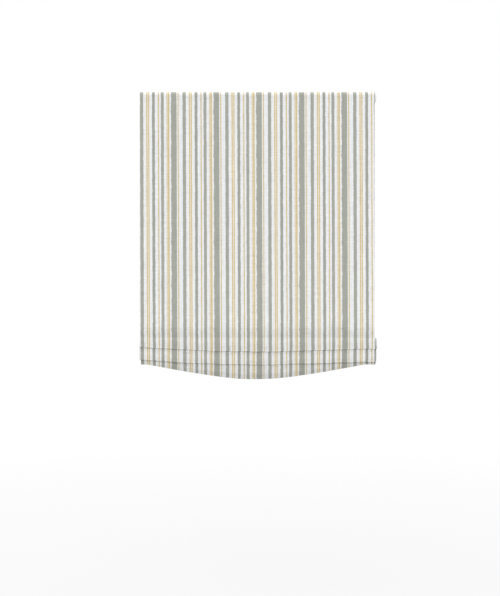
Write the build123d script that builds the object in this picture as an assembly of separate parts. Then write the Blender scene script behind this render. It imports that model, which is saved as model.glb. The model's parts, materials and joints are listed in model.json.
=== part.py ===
from build123d import *
import math
import os

# A relaxed roman blind that hangs inside a recess, lowered, with its lift works in the head rail.
# X runs across the blind, Y from its front to its back, Z up. The origin lies on the top mounting
# plane, at the centre of the four bracket screw holes.

# Driving sizes of the whole blind
blind_width = 914.0
side_drop = 1055.0        # mounting plane to the straight hem at each side
hem_sag = 57.0            # how much lower the hem hangs at the centre
crown_share = 0.23        # how round the middle of the sag is
cloth_top_gap = 3.0       # mounting plane to the cloth on the rail

# Cloth
cloth_thickness = 0.7
lining_thickness = 0.4
ply_gap = 0.25            # between two layers that lie on each other
side_hem = 33.0           # cloth turned back at each side edge, where the bottom edge stays straight
hem_turn_up = 20.0        # cloth turned up behind the bottom edge
lining_over_hem = 7.0     # how far the lining laps over the side hems
lining_above_hem = 14.0   # lining stops this far above the bottom edge
end_lap = 0.3             # the cloth's top edge stays this far off the rail's step
rail_gap = 0.3            # lining to the rail's front

# Soft folds at the bottom: two creases above the straight hem, and what rises from each
fold_one_height = 62.0
fold_one_sag = 13.0
fold_one_loop = 39.0      # from the first crease up to where the cloth turns down again behind it
fold_two_height = 12.0
fold_two_sag = 14.0
fold_two_loop = 16.0
dip_rise = 14.0           # the lowest ring row on the flat panel, above the turn behind the first fold
dip_run = 28.0            # height over which the panel leans back to that row
dip_back = 3.2            # how far that row draws the cloth back
fold_depth = 6.6          # front to back of one loop of cloth
fold_gap = 1.0            # between the two plies where the cloth turns down again
flap_gap = 0.8            # the same, behind the second fold
crease_back = 0.2         # how far the first crease stands back from the panel
puff = 0.6                # how far a fold swells forward above its crease
puff_height = 24.0
second_puff = 1.0
second_puff_height = 17.0
entry_radius = 40.0       # where the panel starts to lean back
soft_radius = 14.0        # where a fold's cloth bends softly
crease_radius = 3.0
roll_radius = 15.0        # where the cloth rolls back over the rail

# Head rail
rail_wall = 1.5
rail_radius = 12.0
slot_width = 24.0
rear_lip = 6.0
front_lip = 4.5
lip_corner = 0.4
rail_corner = 2.0
rail_inner_corner = 0.5
cap_thickness = 2.5
cap_plug_depth = 10.0
cap_plug_wall = 1.8
cap_plug_corner = 0.6
cap_side_gap = 1.0
strip_thickness = 1.1
strip_margin = 0.4        # the strips stop this far behind the start of the roll

# Brackets
bracket_inset = 127.0     # side of the blind to the middle of a bracket
bracket_width = 26.0
bracket_steel = 1.6
screw_spacing = 11.0
screw_hole_radius = 2.1
bracket_corner = 0.8
bracket_side_gap = 0.2
bracket_rear_gap = 1.0    # the plate stops this far short of the rail's rear
hook_reach = 2.3
hook_drop = 1.6
hook_lead = 1.0           # how far the hook's tip leans in

# Lift works
cord_inset = 45.0         # side of the blind to a lift cord
cord_radius = 0.7
wind_radius = 10.0        # spool axis to the middle of the cord
spool_length = 32.0
flange_radius = 12.5
flange_thickness = 2.0
flange_to_cord = 2.1      # a spool's outer flange to the cord that runs down
journal_radius = 5.0
journal_length = 4.0
running_gap = 0.05
shaft_size = 5.0
shaft_overhang = 6.0
shaft_corner = 0.4
clip_length = 3.0
clip_gap = 1.0
cradle_wall = 4.0
cradle_floor = 2.0
cradle_rim = 3.5
cradle_side = 1.0         # the cradle's walls beyond the flanges, front and back
cradle_corner = 5.0
floor_gap = 0.4
spool_gap = 1.6           # between a spool and the strips' recess above it
works_gap = 0.3           # between the motor and the rail's rear wall
snap_width = 8.4
guide_bore = 1.5
guide_body_radius = 3.9
guide_flange_radius = 6.0
guide_flange = 1.2
guide_flange_corner = 0.5

# Spring motor
band_width = 22.0
band_thickness = 0.3
output_core = 8.0
output_coil = 11.8        # the band's outer radius on the output drum while the blind is down
storage_core = 6.0
storage_coil = 7.0
storage_journal = 4.0
storage_room = 10.0       # storage drum's axis to the motor's rear wall
output_room = 13.0        # output drum's axis to the motor's front wall
drum_spacing = 22.5
drum_side_gap = 0.4       # between the band and each end of a drum
motor_wall = 2.0
motor_gap = 2.0           # between the motor and the strips' recess above it
motor_corner = 2.0
motor_floor_corner = 0.8

# Rings
ring_pitch = 152.4
highest_ring_depth = 100.0   # no ring row sits higher than this
ring_radius = 6.8
ring_thickness = 2.0
ring_facets = 16
ring_gap = 0.3            # lining to a ring
cord_in_ring = 0.2        # between a cord and the ring's inner side
stack_ring_depth = 3.0    # the last ring row, below the turn behind the first fold

# Bottom bar
bar_height = 20.0
bar_thickness = 4.0
bar_height_above_hem = 37.0
bar_room = 1.7            # the pocket's front to the bar
bar_side_gap = 12.0
bar_cap_length = 12.0
bar_cap_wall = 1.0
bar_edge = 1.6
pocket_cloth = 0.5
pocket_ease = 0.7
pocket_gap = 0.1
pocket_edge = 1.0
cord_in_pocket = 4.0      # the pocket stops this far short of each anchor
anchor_length = 16.0
anchor_wall = 1.5
anchor_rise = 9.0
anchor_reach = 2.6
anchor_overlap = 4.0      # how far the anchor grips down over the bar
anchor_arm = 5.0
anchor_corner = 1.6
anchor_hole_gap = 0.2

# Places that follow from the sizes
half_width = blind_width / 2
sag_reach = half_width - side_hem
lining_back = 2 * cloth_thickness + 2 * ply_gap + lining_thickness
lining_front = lining_back - lining_thickness
ring_hole_reach = ring_radius - ring_thickness - cord_radius - cord_in_ring
ring_to_rear = ring_hole_reach + wind_radius + drum_spacing + storage_room + motor_wall + works_gap + rail_wall
rail_depth = ring_gap - rail_gap + ring_radius + ring_to_rear
rail_rear = slot_width / 2 + rear_lip
rail_front = rail_rear - rail_depth
panel_front = rail_front - rail_gap - lining_back
strip_seat = cloth_top_gap + lining_back + 2 * strip_thickness + 2 * running_gap
step_y = -slot_width / 2 - front_lip
rail_top = bracket_steel
recess_under = strip_seat + rail_wall
rail_floor = recess_under + spool_gap + 2 * flange_radius + floor_gap + cradle_floor
rail_bottom = rail_floor + rail_wall
rail_length = blind_width - 2 * (cap_side_gap + cap_thickness)
cord_x = half_width - cord_inset
panel_ring_y = panel_front + lining_back + ring_gap + ring_radius
cord_y = panel_ring_y + ring_hole_reach
shaft_y = cord_y + wind_radius
shaft_z = -recess_under - spool_gap - flange_radius
storage_y = shaft_y + drum_spacing
up_ply = panel_front + fold_depth
second_ply = up_ply + fold_gap
flap_front = second_ply + fold_depth + fold_gap
pocket_front = flap_front + lining_back + pocket_gap
bar_front = pocket_front + bar_room
bar_back = bar_front + bar_thickness
bar_top = side_drop - bar_height_above_hem
fold_one_top = side_drop - fold_one_height - fold_one_loop
dip_depth = fold_one_top - dip_rise
sides = {"left": -1, "right": 1}


def sag_share(x):
    """How much of a full sag a point across the blind has: a rounded crown with straight sides."""
    t = min(abs(x) / sag_reach, 1.0)
    return 1 - (math.hypot(t, crown_share) - crown_share) / (math.hypot(1, crown_share) - crown_share)


def cloth_path(x, end):
    """Corners (y, z) and their radii along the cloth's front face, from the rail down to a named end."""
    sag = sag_share(x)
    crease_one = fold_one_height - side_drop - fold_one_sag * sag
    crease_two = fold_two_height - side_drop - fold_two_sag * sag
    fold_two_top = fold_two_height + fold_two_loop - side_drop
    hem = -side_drop - hem_sag * sag
    turn = 2 * cloth_thickness + ply_gap
    path = [
        (step_y - end_lap, -cloth_top_gap, 0),
        (panel_front, -cloth_top_gap, roll_radius),
        (panel_front, dip_run - dip_depth, entry_radius),
        (panel_front + dip_back, -dip_depth, soft_radius),
        (panel_front - puff, crease_one + puff_height, soft_radius),
        (panel_front + crease_back, crease_one, crease_radius),
        (up_ply, crease_one, crease_radius),
        (up_ply, -fold_one_top, 0),
        (second_ply, -fold_one_top, 0),
        (second_ply - second_puff, crease_two + second_puff_height, soft_radius),
        (second_ply - puff, crease_two, crease_radius),
        (second_ply - puff + fold_depth, crease_two, crease_radius),
        (flap_front - flap_gap, fold_two_top, 0),
        (flap_front, fold_two_top, 0),
    ]
    if end == "lining":
        path += [(flap_front, hem + lining_above_hem, 0)]
    else:
        path += [(flap_front, hem, 0), (flap_front + turn, hem, 0), (flap_front + turn, hem + hem_turn_up, 0)]
    return path


def strip_face(path, near, far):
    """The section of a layer that follows a cornered path, between two distances behind it."""
    edges = []
    ends = []
    for away in (near, far):
        points = []
        radii = []
        for i, (y, z, radius) in enumerate(path):
            before = path[max(i - 1, 0)]
            after = path[min(i + 1, len(path) - 1)]
            steps = [(y - before[0], z - before[1]), (after[0] - y, after[1] - z)]
            normals = [(-dz / math.hypot(dy, dz), dy / math.hypot(dy, dz)) for dy, dz in steps if dy or dz]
            first, last = normals[0], normals[-1]
            share = away / (1 + first[0] * last[0] + first[1] * last[1])
            points.append((y + share * (first[0] + last[0]), z + share * (first[1] + last[1])))
            turn = first[0] * last[1] - first[1] * last[0]
            radii.append(0 if radius == 0 else radius - math.copysign(away, turn))
        edges += FilletPolyline(*points, radius=radii[1:-1]).edges()
        ends.append((points[0], points[-1]))
    edges += [Line(ends[0][0], ends[1][0]).edge(), Line(ends[0][1], ends[1][1]).edge()]
    return make_face(edges)


def at_x(x, section):
    """A section in Y and Z, set across the blind at x."""
    return Plane.YZ.offset(x) * section


def run(section, low, high):
    """A Y and Z section, run along X from low to high."""
    return extrude(at_x(low, section), amount=high - low, dir=(1, 0, 0))


def block(x, y, z):
    """A box from its lowest and highest values along each axis."""
    size = [high - low for low, high in (x, y, z)]
    middle = [(high + low) / 2 for low, high in (x, y, z)]
    return Pos(*middle) * Box(*size)


def round_bar(radius, low, high, y, z):
    """A cylinder along X."""
    return Pos((low + high) / 2, y, z) * Rot(0, 90, 0) * Cylinder(radius, high - low)


def layer(near, far, end):
    """One layer of the hanging cloth, lofted between the two straight corners."""
    shares = (-1, -0.62, -0.3, -0.1, 0.1, 0.3, 0.62, 1)
    sections = [at_x(sag_reach * t, strip_face(cloth_path(sag_reach * t, end), near, far)) for t in shares]
    return loft(sections, ruled=True)


def make_face_fabric():
    """The striped cloth, with its bottom edge turned up and a pressed hem, two plies thick, at each side."""
    cloth = layer(0, cloth_thickness, "hem")
    single = strip_face(cloth_path(half_width, "hem"), 0, cloth_thickness)
    double = strip_face(cloth_path(half_width, "lining"), 0, 2 * cloth_thickness + ply_gap)
    for side in sides.values():
        low, high = sorted((side * sag_reach, side * half_width))
        cloth += run(single, low, high) + run(double, low, high)
    return cloth


def make_lining():
    """The plain cloth behind, lapped over the side hems."""
    lining = layer(lining_front, lining_back, "lining")
    lap = strip_face(cloth_path(half_width, "lining"), lining_front, lining_back)
    for side in sides.values():
        low, high = sorted((side * sag_reach, side * (sag_reach + lining_over_hem)))
        lining += run(lap, low, high)
    return lining


def rail_outline():
    """The rail's outer corners (y, z) and radii, from the front lip round to the rear lip."""
    return [
        (-slot_width / 2, -rail_top, 0),
        (step_y, -rail_top, lip_corner),
        (step_y, -strip_seat, 0),
        (rail_front, -strip_seat, rail_radius),
        (rail_front, -rail_bottom, rail_corner),
        (rail_rear, -rail_bottom, rail_corner),
        (rail_rear, -rail_top, rail_corner),
        (slot_width / 2, -rail_top, 0),
    ]


def rail_section():
    """The channel's wall, the same thickness all round, open between its two lips."""
    outline = rail_outline()
    outer = make_face(FilletPolyline(*[p[:2] for p in outline], radius=[p[2] for p in outline], close=True))
    front = step_y + rail_wall
    roof = -recess_under
    under = -rail_top - rail_wall
    inside = [
        (-slot_width / 2, under, 0),
        (front, under, 0),
        (front, roof, 0),
        (rail_front + rail_wall, roof, rail_radius - rail_wall),
        (rail_front + rail_wall, -rail_floor, rail_inner_corner),
        (rail_rear - rail_wall, -rail_floor, rail_inner_corner),
        (rail_rear - rail_wall, under, rail_inner_corner),
        (slot_width / 2, under, 0),
        (slot_width / 2, 0, 0),
        (-slot_width / 2, 0, 0),
    ]
    hollow = make_face(FilletPolyline(*[p[:2] for p in inside], radius=[p[2] for p in inside], close=True))
    return outer - hollow


def make_head_rail():
    rail = run(rail_section(), -rail_length / 2, rail_length / 2)
    for side in sides.values():
        hole = Pos(side * cord_x, cord_y, -rail_bottom) * Cylinder(guide_body_radius + running_gap, 4 * rail_wall)
        rail -= hole
    return rail


def make_end_cap(side):
    """A plate over the channel's end, with a plug rim that grips its walls inside."""
    outline = rail_outline()
    plate = make_face(FilletPolyline(*[p[:2] for p in outline], radius=[p[2] for p in outline], close=True))
    start = side * rail_length / 2
    end = side * (rail_length / 2 + cap_thickness)
    cap = run(plate, min(start, end), max(start, end))
    inset = rail_wall + running_gap
    low_y = rail_front + inset
    high_y = rail_rear - inset
    low_z = -rail_floor + running_gap
    high_z = -strip_seat - rail_radius
    inner = side * (rail_length / 2 - cap_plug_depth)
    x = (min(start, inner), max(start, inner))
    plug = block(x, (low_y, high_y), (low_z, high_z))
    plug = chamfer(plug.edges().filter_by(Axis.X).group_by(Axis.Z)[0], cap_plug_corner)
    hollow = block(x, (low_y + cap_plug_wall, high_y - cap_plug_wall), (low_z + cap_plug_wall, high_z))
    return cap + (plug - hollow)


def make_bracket(side):
    """A pressed steel clip: a plate on the mounting plane with two hooked legs down through the slot."""
    leg = slot_width / 2 - bracket_side_gap
    under = -rail_top - rail_wall - running_gap
    tip = under - hook_drop
    reach = leg + hook_reach
    front = step_y
    rear = rail_rear - bracket_rear_gap
    outline = [
        (front, 0), (rear, 0), (rear, -bracket_steel), (leg, -bracket_steel), (leg, under), (reach, under),
        (reach - hook_lead, tip), (leg - bracket_steel, tip), (leg - bracket_steel, -bracket_steel),
        (bracket_steel - leg, -bracket_steel), (bracket_steel - leg, tip), (hook_lead - reach, tip),
        (-reach, under), (-leg, under), (-leg, -bracket_steel), (front, -bracket_steel),
    ]
    middle = side * (half_width - bracket_inset)
    section = make_face(Polyline(*outline, close=True))
    bracket = run(section, middle - bracket_width / 2, middle + bracket_width / 2)
    bracket = chamfer(bracket.edges().filter_by(Axis.Z).group_by(Axis.Z)[-1], bracket_corner)
    for end in (-1, 1):
        bracket -= Pos(middle, end * screw_spacing / 2, 0) * Cylinder(screw_hole_radius, 3 * bracket_steel)
    return bracket


def make_strip(top):
    """Half of the rail's hook and loop fastening, in the recess on the rail."""
    return block(
        (-rail_length / 2, rail_length / 2),
        (panel_front + roll_radius + strip_margin, step_y - end_lap),
        (-top - strip_thickness, -top),
    )


def bore_out(body, half, y, z):
    """A body with a square hole, half as wide as stated on each side, right through it along X."""
    return body - block((-half_width, half_width), (y - half, y + half), (z - half, z + half))


def on_shaft(body):
    """A body with the square hole that the lift shaft passes through."""
    return bore_out(body, shaft_size / 2 + running_gap, shaft_y, shaft_z)


def spool_span(side):
    """Lowest and highest X between a spool's two flanges: the cord runs on at its outer end."""
    outer = side * (cord_x + flange_to_cord)
    return sorted((outer, outer - side * spool_length))


def make_cord_spool(side):
    low, high = spool_span(side)
    spool = round_bar(wind_radius - cord_radius - running_gap, low, high, shaft_y, shaft_z)
    for start in (low - flange_thickness, high):
        spool += round_bar(flange_radius, start, start + flange_thickness, shaft_y, shaft_z)
    reach = flange_thickness + journal_length
    spool += round_bar(journal_radius, low - reach, high + reach, shaft_y, shaft_z)
    return on_shaft(spool)


def make_spool_cradle(side):
    """Two bearing walls on a floor plate; each bearing opens upward in a narrower snap slot."""
    low, high = spool_span(side)
    low -= flange_thickness + floor_gap
    high += flange_thickness + floor_gap
    floor = -rail_floor
    wide = flange_radius + cradle_side
    top = shaft_z + journal_radius + cradle_rim
    cradle = block(
        (low - cradle_wall, high + cradle_wall), (shaft_y - wide, shaft_y + wide), (floor, floor + cradle_floor)
    )
    bore = journal_radius + running_gap
    for start in (low - cradle_wall, high):
        wall = block((start, start + cradle_wall), (shaft_y - wide, shaft_y + wide), (floor, top))
        wall = chamfer(wall.edges().filter_by(Axis.X).group_by(Axis.Z)[-1], cradle_corner)
        wall -= round_bar(bore, start, start + cradle_wall, shaft_y, shaft_z)
        wall -= block(
            (start, start + cradle_wall), (shaft_y - snap_width / 2, shaft_y + snap_width / 2), (shaft_z, top)
        )
        cradle += wall
    cradle -= Pos(side * cord_x, cord_y, floor) * Cylinder(guide_body_radius + running_gap, 4 * cradle_floor)
    return cradle


def make_cord_guides():
    """The two grommets through the rail's floor, each with a flange under it and a bore for its cord."""
    height = rail_wall + cradle_floor
    guide = Pos(0, 0, height / 2) * Cylinder(guide_body_radius, height)
    guide += Pos(0, 0, -guide_flange / 2) * Cylinder(guide_flange_radius, guide_flange)
    guide = chamfer(guide.faces().sort_by(Axis.Z)[0].edges(), guide_flange_corner)
    guide -= Cylinder(guide_bore, 4 * height)
    return Compound([Pos(side * cord_x, cord_y, -rail_bottom) * guide for side in sides.values()])


def make_lift_shaft():
    reach = spool_span(1)[1] + flange_thickness + journal_length + shaft_overhang
    half = shaft_size / 2
    shaft = block((-reach, reach), (shaft_y - half, shaft_y + half), (shaft_z - half, shaft_z + half))
    return chamfer(shaft.edges().filter_by(Axis.X), shaft_corner)


def make_shaft_clips():
    """A push-on retainer on the shaft outside each spool."""
    clips = []
    for side in sides.values():
        start = side * (cord_x + flange_to_cord + flange_thickness + journal_length + clip_gap)
        low, high = sorted((start, start + side * clip_length))
        clips.append(on_shaft(round_bar(journal_radius, low, high, shaft_y, shaft_z)))
    return Compound(clips)


def drum_half():
    """Half the length of either drum of the spring motor, between its journals."""
    return band_width / 2 + drum_side_gap


def motor_half():
    """Half the room along X between the motor's two end walls."""
    return drum_half() + floor_gap


def make_output_drum():
    drum = round_bar(output_core, -drum_half(), drum_half(), shaft_y, shaft_z)
    reach = motor_half() + motor_wall
    return on_shaft(drum + round_bar(journal_radius, -reach, reach, shaft_y, shaft_z))


def make_storage_drum():
    drum = round_bar(storage_core, -drum_half(), drum_half(), storage_y, shaft_z)
    reach = motor_half() + motor_wall
    return drum + round_bar(storage_journal, -reach, reach, storage_y, shaft_z)


def make_spring_band():
    """A steel band, wound on the output drum while the blind is down, that crosses to the storage drum."""
    half = band_width / 2
    lean = math.acos((output_coil + storage_coil) / drum_spacing)
    out = output_coil - band_thickness / 2
    back = storage_coil - band_thickness / 2
    start = (shaft_y + out * math.cos(lean), shaft_z + out * math.sin(lean))
    end = (storage_y - back * math.cos(lean), shaft_z - back * math.sin(lean))
    band = run(trace(Line(start, end), band_thickness), -half, half)
    band += round_bar(output_coil, -half, half, shaft_y, shaft_z)
    band += round_bar(storage_coil, -half, half, storage_y, shaft_z)
    band -= round_bar(output_core + running_gap, -half, half, shaft_y, shaft_z)
    return band - round_bar(storage_core + running_gap, -half, half, storage_y, shaft_z)


def motor_box():
    """Front, back, floor and top of the motor housing as (y, y, z, z)."""
    front = shaft_y - output_room - motor_wall
    back = storage_y + storage_room + motor_wall
    return front, back, -rail_floor, -recess_under - motor_gap


def end_wall(low, high):
    """One of the motor's end walls, with a bearing for each drum."""
    front, back, floor, top = motor_box()
    wall = block((low, high), (front, back), (floor, top))
    wall = chamfer(wall.edges().filter_by(Axis.X).group_by(Axis.Z)[-1], motor_corner)
    wall = fillet(wall.edges().filter_by(Axis.X).group_by(Axis.Z)[0], motor_floor_corner)
    wall -= round_bar(journal_radius + running_gap, low, high, shaft_y, shaft_z)
    return wall - round_bar(storage_journal + running_gap, low, high, storage_y, shaft_z)


def make_motor_housing():
    """A tray with a front and a rear wall and one end wall, open on top for the spring."""
    front, back, floor, top = motor_box()
    half = motor_half()
    tray = block((-half, half), (front, back), (floor, shaft_z))
    tray = fillet(tray.edges().filter_by(Axis.X).group_by(Axis.Z)[0], motor_floor_corner)
    tray -= block((-half, half), (front + motor_wall, back - motor_wall), (floor + motor_wall, shaft_z))
    return tray + end_wall(-half - motor_wall, -half)


def make_motor_cover():
    return end_wall(motor_half(), motor_half() + motor_wall)


def make_ring_row(depth, y):
    """Two moulded rings, one on each cord."""
    outline = RegularPolygon(ring_radius, ring_facets) - RegularPolygon(ring_radius - ring_thickness, ring_facets)
    ring = Pos(0, 0, -ring_thickness / 2) * extrude(outline, amount=ring_thickness)
    return Compound([Pos(side * cord_x, y, -depth) * ring for side in sides.values()])


def make_lift_cord(side):
    bottom = -bar_top + anchor_rise
    return Pos(side * cord_x, cord_y, (shaft_z + bottom) / 2) * Cylinder(cord_radius, shaft_z - bottom)


def bar_reach():
    return half_width - bar_side_gap - bar_cap_wall


def make_bottom_bar():
    bar = block((-bar_reach(), bar_reach()), (bar_front, bar_back), (-bar_top - bar_height, -bar_top))
    return fillet(bar.edges().filter_by(Axis.X), bar_edge)


def make_bar_cap(side):
    """A moulded cap pushed over the bar's end."""
    wall = bar_cap_wall + running_gap
    end = side * (bar_reach() + wall)
    x = sorted((end, end - side * bar_cap_length))
    room = sorted((0, side * (bar_reach() + running_gap)))
    cap = block(x, (bar_front - wall, bar_back + wall), (-bar_top - bar_height - wall, -bar_top + wall))
    cap = fillet(cap.edges().filter_by(Axis.X), bar_edge + wall / 2)
    return cap - block(
        room,
        (bar_front - running_gap, bar_back + running_gap),
        (-bar_top - bar_height - running_gap, -bar_top + running_gap),
    )


def make_bar_pocket():
    """A flat sleeve of lining cloth round the bar, sewn behind the hem flap, between the two anchors."""
    reach = cord_x - anchor_length / 2 - cord_in_pocket
    back = bar_back + pocket_ease
    top = -bar_top + pocket_ease
    bottom = -bar_top - bar_height - pocket_ease
    outer = block((-reach, reach), (pocket_front, back), (bottom, top))
    outer = chamfer(outer.edges().filter_by(Axis.X), pocket_edge)
    return outer - block(
        (-reach, reach),
        (pocket_front + pocket_cloth, back - pocket_cloth),
        (bottom + pocket_cloth, top - pocket_cloth),
    )


def make_cord_anchor(side):
    """A clip over the bar's top edge, with an arm forward that holds the cord's end."""
    front = bar_front - running_gap - anchor_wall
    back = bar_back + running_gap + anchor_wall
    top = -bar_top + anchor_rise
    x = (-anchor_length / 2, anchor_length / 2)
    clip = block(x, (front, back), (-bar_top - anchor_overlap, top))
    clip += block(x, (cord_y - anchor_reach, front), (top - anchor_arm, top))
    clip -= block(
        x, (bar_front - running_gap, bar_back + running_gap), (-bar_top - anchor_overlap, -bar_top + running_gap)
    )
    clip = chamfer(clip.edges().filter_by(Axis.Z).group_by(Axis.Y)[0], anchor_corner)
    clip -= Pos(0, cord_y, top) * Cylinder(cord_radius + anchor_hole_gap, 4 * anchor_arm)
    return Pos(side * cord_x, 0, 0) * clip


parts = {
    "head_rail": make_head_rail(),
    "hook_strip": make_strip(strip_seat - strip_thickness),
    "loop_strip": make_strip(cloth_top_gap + lining_back + running_gap),
    "face_fabric": make_face_fabric(),
    "lining": make_lining(),
    "lift_shaft": make_lift_shaft(),
    "shaft_clips": make_shaft_clips(),
    "cord_guides": make_cord_guides(),
    "motor_housing": make_motor_housing(),
    "motor_cover": make_motor_cover(),
    "output_drum": make_output_drum(),
    "storage_drum": make_storage_drum(),
    "spring_band": make_spring_band(),
    "bottom_bar": make_bottom_bar(),
    "bar_pocket": make_bar_pocket(),
}
for name, side in sides.items():
    parts[f"end_cap_{name}"] = make_end_cap(side)
    parts[f"bracket_{name}"] = make_bracket(side)
    parts[f"cord_spool_{name}"] = make_cord_spool(side)
    parts[f"spool_cradle_{name}"] = make_spool_cradle(side)
    parts[f"lift_cord_{name}"] = make_lift_cord(side)
    parts[f"bar_cap_{name}"] = make_bar_cap(side)
    parts[f"cord_anchor_{name}"] = make_cord_anchor(side)

panel_rows = int((dip_depth - highest_ring_depth) / ring_pitch)
rows = [(dip_depth - (panel_rows - row) * ring_pitch, panel_ring_y) for row in range(panel_rows)]
rows.append((dip_depth, panel_ring_y + dip_back))
rows.append((fold_one_top + stack_ring_depth, cord_y + ring_hole_reach))
for row, (depth, y) in enumerate(rows, start=1):
    parts[f"ring_row_{row}"] = make_ring_row(depth, y)

os.makedirs("parts", exist_ok=True)
for name, shape in parts.items():
    export_step(shape, f"parts/{name}.step")
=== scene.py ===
import bpy
import bmesh
import json
import math
from mathutils import Matrix, Vector, noise


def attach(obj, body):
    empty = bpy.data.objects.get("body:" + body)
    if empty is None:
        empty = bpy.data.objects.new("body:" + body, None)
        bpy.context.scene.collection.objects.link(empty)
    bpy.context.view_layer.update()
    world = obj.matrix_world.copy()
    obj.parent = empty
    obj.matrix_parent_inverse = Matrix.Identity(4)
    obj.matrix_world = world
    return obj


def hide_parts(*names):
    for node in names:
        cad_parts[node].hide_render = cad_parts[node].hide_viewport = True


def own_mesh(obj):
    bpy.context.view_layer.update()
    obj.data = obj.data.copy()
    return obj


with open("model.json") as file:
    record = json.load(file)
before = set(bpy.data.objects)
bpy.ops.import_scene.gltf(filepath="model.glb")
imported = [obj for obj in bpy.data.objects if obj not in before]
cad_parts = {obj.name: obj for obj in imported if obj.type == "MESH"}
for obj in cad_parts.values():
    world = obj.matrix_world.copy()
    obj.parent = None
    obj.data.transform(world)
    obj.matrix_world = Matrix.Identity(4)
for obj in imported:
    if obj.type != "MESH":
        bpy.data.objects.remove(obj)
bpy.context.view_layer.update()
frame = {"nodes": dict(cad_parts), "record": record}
nodes = frame["nodes"]

# colour and node helpers


def srgb(red, green, blue):
    # a colour as it looks on a screen, 0 to 255, in Blender's linear values
    def channel(c):
        c /= 255
        return c / 12.92 if c <= 0.04045 else ((c + 0.055) / 1.055) ** 2.4
    return (channel(red), channel(green), channel(blue), 1)


def newMaterial(name, colour, roughness, metallic=0.0):
    material = bpy.data.materials.new(name)
    material.use_nodes = True
    tree = material.node_tree
    shader = tree.nodes["Principled BSDF"]
    for socketName, value in (("Base Color", colour), ("Roughness", roughness), ("Metallic", metallic)):
        shader.inputs[socketName].default_value = value
    return material, tree, shader


def addNode(tree, kind, **values):
    node = tree.nodes.new(kind)
    for key, value in values.items():
        setattr(node, key, value)
    return node


def feed(tree, socket, value):
    # another socket is linked to this one, and anything else is set on it
    if isinstance(value, bpy.types.NodeSocket):
        tree.links.new(value, socket)
    elif value is not None:
        socket.default_value = value


def maths(tree, operation, first, second=None, third=None, clamp=False):
    node = addNode(tree, "ShaderNodeMath", operation=operation, use_clamp=clamp)
    for socket, value in zip(node.inputs, (first, second, third)):
        feed(tree, socket, value)
    return node.outputs[0]


def mixColours(tree, share, first, second):
    # sockets 0, 6, 7 and 2 of a Mix node are the ones for colours
    node = addNode(tree, "ShaderNodeMix", data_type="RGBA")
    for number, value in ((0, share), (6, first), (7, second)):
        feed(tree, node.inputs[number], value)
    return node.outputs[2]


def newGroup(name, inputs, outputs):
    # a shader node group: its inputs are numbers, or vectors where they are None, and its outputs numbers
    tree = bpy.data.node_groups.new(name, "ShaderNodeTree")
    for socketName, value in inputs.items():
        kind = "NodeSocketVector" if value is None else "NodeSocketFloat"
        socket = tree.interface.new_socket(socketName, in_out="INPUT", socket_type=kind)
        if value is not None:
            socket.default_value = value
    for socketName in outputs:
        tree.interface.new_socket(socketName, in_out="OUTPUT", socket_type="NodeSocketFloat")
    return tree, tree.nodes.new("NodeGroupInput").outputs, tree.nodes.new("NodeGroupOutput").inputs


def placeGroup(tree, group, **values):
    node = addNode(tree, "ShaderNodeGroup", node_tree=group)
    for key, value in values.items():
        feed(tree, node.inputs[key], value)
    return node.outputs


def slowNoise(tree, vector, detail, spread=(1, 1, 1)):
    # noise with this many waves to a metre each way
    stretch = addNode(tree, "ShaderNodeVectorMath", operation="MULTIPLY")
    tree.links.new(vector, stretch.inputs[0])
    stretch.inputs[1].default_value = spread
    texture = addNode(tree, "ShaderNodeTexNoise")
    texture.inputs["Scale"].default_value = 1
    texture.inputs["Detail"].default_value = detail
    tree.links.new(stretch.outputs[0], texture.inputs["Vector"])
    return texture.outputs["Fac"]


def shadeInto(tree, shader, colour, shade):
    # a colour times a shade becomes the base colour
    scaled = addNode(tree, "ShaderNodeVectorMath", operation="SCALE")
    feed(tree, scaled.inputs[0], colour)
    tree.links.new(shade, scaled.inputs["Scale"])
    tree.links.new(scaled.outputs[0], shader.inputs["Base Color"])


def bumpInto(tree, shader, height, strength, distance):
    bump = addNode(tree, "ShaderNodeBump")
    bump.inputs["Strength"].default_value = strength
    bump.inputs["Distance"].default_value = distance
    tree.links.new(height, bump.inputs["Height"])
    tree.links.new(bump.outputs[0], shader.inputs["Normal"])


# shared effects as node groups

weaveLook = {
    "slubsAcross": (330, 11, 1),        # noise waves to a metre across and along the cloth
    "slubsAlong": (24, 330, 1),
    "slubDetail": 3,
    "slubGain": 4.0,
    "threadHeight": 0.35,
    "slubHeight": 1.6,
}


def buildWeaveGroup():
    # threads both ways with slubs: a shade that varies over the cloth, and its height
    values = {"Vector": None, "Pitch": 0.0009, "Slub": 0.03}
    tree, given, result = newGroup("clothWeave", values, ("Shade", "Height"))
    split = addNode(tree, "ShaderNodeSeparateXYZ")
    tree.links.new(given["Vector"], split.inputs[0])
    across, along = split.outputs[0], split.outputs[1]
    turns = maths(tree, "DIVIDE", 2 * math.pi, given["Pitch"])
    warp = maths(tree, "SINE", maths(tree, "MULTIPLY", across, turns))
    weft = maths(tree, "SINE", maths(tree, "MULTIPLY", along, turns))
    lattice = maths(tree, "MULTIPLY", warp, weft)
    acrossSlub = slowNoise(tree, given["Vector"], weaveLook["slubDetail"], weaveLook["slubsAcross"])
    alongSlub = slowNoise(tree, given["Vector"], weaveLook["slubDetail"], weaveLook["slubsAlong"])
    slubs = maths(tree, "SUBTRACT", maths(tree, "ADD", acrossSlub, alongSlub), 1.0)
    gain = maths(tree, "MULTIPLY", given["Slub"], weaveLook["slubGain"])
    tree.links.new(maths(tree, "MULTIPLY_ADD", slubs, gain, 1.0), result["Shade"])
    slubHeight = maths(tree, "MULTIPLY", slubs, weaveLook["slubHeight"])
    height = maths(tree, "MULTIPLY_ADD", lattice, weaveLook["threadHeight"], slubHeight)
    tree.links.new(height, result["Height"])
    return tree


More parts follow.
